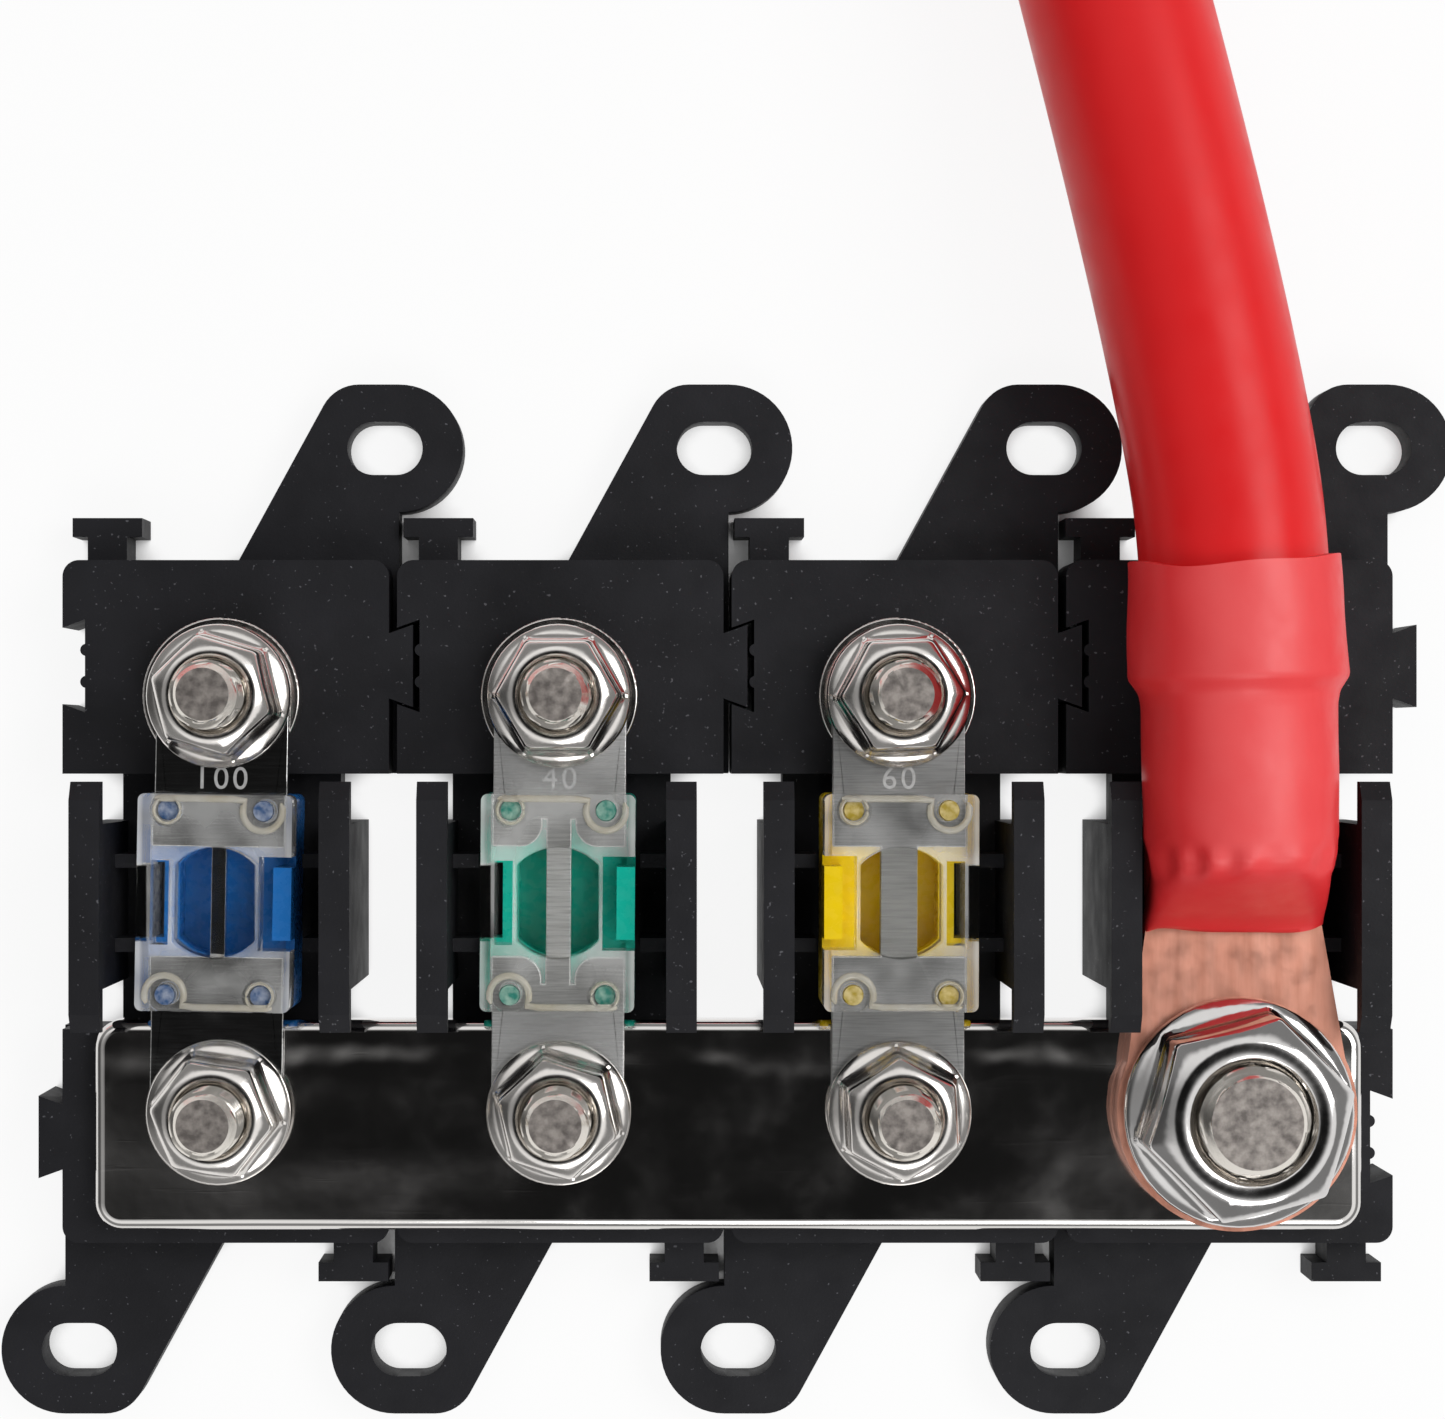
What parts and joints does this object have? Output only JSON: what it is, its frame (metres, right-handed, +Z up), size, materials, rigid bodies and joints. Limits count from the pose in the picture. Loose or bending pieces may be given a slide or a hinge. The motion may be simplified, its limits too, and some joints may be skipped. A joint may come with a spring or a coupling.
{
  "type": "midi fuse holder row",
  "caption": "Screw-down holders locked side by side carry bolt-down fuses on studs, fed by a shared bus bar and a lugged cable.",
  "frame": {"origin": "middle of the row of holders, in the plane of the holders' flat underside", "axes": "+X along the row towards the supply stud, +Y from the bus bar to the output studs, +Z up the studs, away from the panel"},
  "size_m": [0.2005, 0.1725, 0.0229],
  "materials": {
    "moulding": "fine satin moulded texture",
    "bar_plate": "bright nickel plate",
    "stud_steel": "zinc-plated, rolled thread",
    "nut_plate": "bright zinc plate",
    "collar_steel": "turned and plated",
    "link_metal": "rolled strip, tinned",
    "housing_blue": "semi-gloss",
    "housing_green": "semi-gloss",
    "housing_yellow": "semi-gloss",
    "clear_cover": "clear polymer",
    "copper": "bare copper, satin",
    "sleeve_red": "satin heat-shrink",
    "cable_red": "semi-gloss insulation"
  },
  "bodies": {
    "root": {"bus_bar": "bar_plate", "fuse_studs": "stud_steel", "fuse_nuts": "nut_plate", "spacer_collars": "collar_steel", "supply_stud": "stud_steel", "supply_nut": "nut_plate", "supply_lug": "copper", "supply_sleeve": "sleeve_red", "supply_conductor": "copper", "supply_cable": "cable_red", "far_lug": "copper", "far_sleeve": "sleeve_red", "holder_1": "moulding", "holder_2": "moulding", "holder_3": "moulding", "holder_4": "moulding", "fuse_1_link": "link_metal", "fuse_1_housing": "housing_blue", "fuse_1_cover": "clear_cover", "fuse_2_link": "link_metal", "fuse_2_housing": "housing_green", "fuse_2_cover": "clear_cover", "fuse_3_link": "link_metal", "fuse_3_housing": "housing_yellow", "fuse_3_cover": "clear_cover"}
  },
  "joints": []
}
